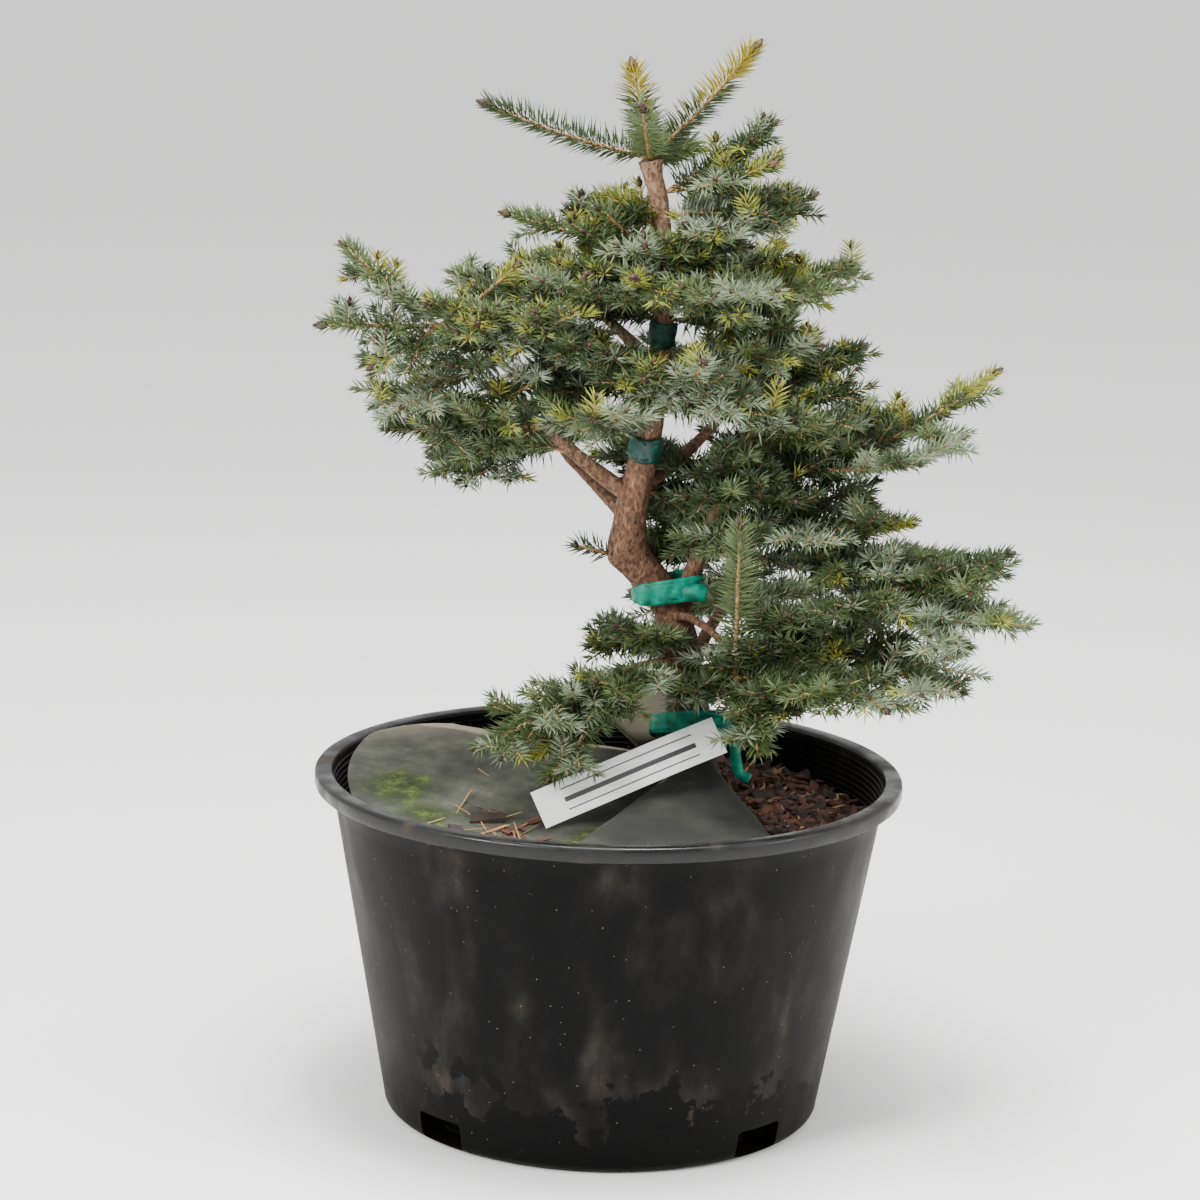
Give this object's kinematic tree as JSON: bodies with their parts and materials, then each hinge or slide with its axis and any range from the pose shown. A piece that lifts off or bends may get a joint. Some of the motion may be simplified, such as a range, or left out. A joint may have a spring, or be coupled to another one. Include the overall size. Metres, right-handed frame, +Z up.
{
  "type": "potted golden Serbian spruce",
  "caption": "Young golden Serbian spruce with a crooked trunk and layered needle sprays, growing in a squat black nursery pot.",
  "frame": {"origin": "centre of the flat underside of the pot", "axes": "+Z up along the pot's axis, -Y towards the viewer of the picture, +X to that viewer's right"},
  "size_m": [0.5046, 0.4632, 0.7787],
  "materials": {
    "pot_plastic": "semi-matt, dusty, with damp stains",
    "potting_mix": "damp bark mix",
    "weed_mat": "matt, with moss",
    "bark": "rough, scaly",
    "tie_tape": "satin, stretched",
    "label": "satin",
    "needles": "waxy, dark green to blue-green, golden at the top"
  },
  "bodies": {
    "root": {"back_left": "needles", "back_left_bough": "bark", "back_low": "needles", "back_low_bough": "bark", "back_right": "needles", "back_right_bough": "bark", "back_upper": "needles", "back_upper_bough": "bark", "bent_front_twig": "bark", "crown_back": "needles", "crown_right": "needles", "crown_whorl": "needles", "droop": "needles", "front_low_bough": "bark", "front_right_rise": "needles", "front_right_tuft": "needles", "front_spray": "needles", "knob_twig": "needles", "left_front_low": "needles", "left_front_tuft": "needles", "left_lower_back": "needles", "left_lower_bough": "bark", "left_lower_tips": "needles", "left_middle": "needles", "left_tips": "needles", "left_upper_bough": "bark", "long_right": "needles", "low_front_tuft": "needles", "low_right_back": "needles", "low_right_tips": "needles", "low_right_under": "needles", "middle_back": "needles", "middle_front": "needles", "middle_right": "needles", "pot": "pot_plastic", "potting_soil": "potting_mix", "right_low": "needles", "right_low_bough": "bark", "right_middle": "needles", "second_stem": "bark", "stem_back_low": "needles", "stem_back_right": "needles", "stem_right": "needles", "stem_top": "needles", "tag": "label", "tag_tie": "tie_tape", "tape_fork": "tie_tape", "tape_middle": "tie_tape", "tape_upper": "tie_tape", "trunk": "bark", "upper_back": "needles", "upper_front": "needles", "upper_front_low": "needles", "upper_left": "needles", "upper_left_low": "needles", "upper_right": "needles", "upper_right_far": "needles", "weed_mat_back": "weed_mat", "weed_mat_front": "weed_mat", "weed_mat_left": "weed_mat"}
  },
  "joints": []
}
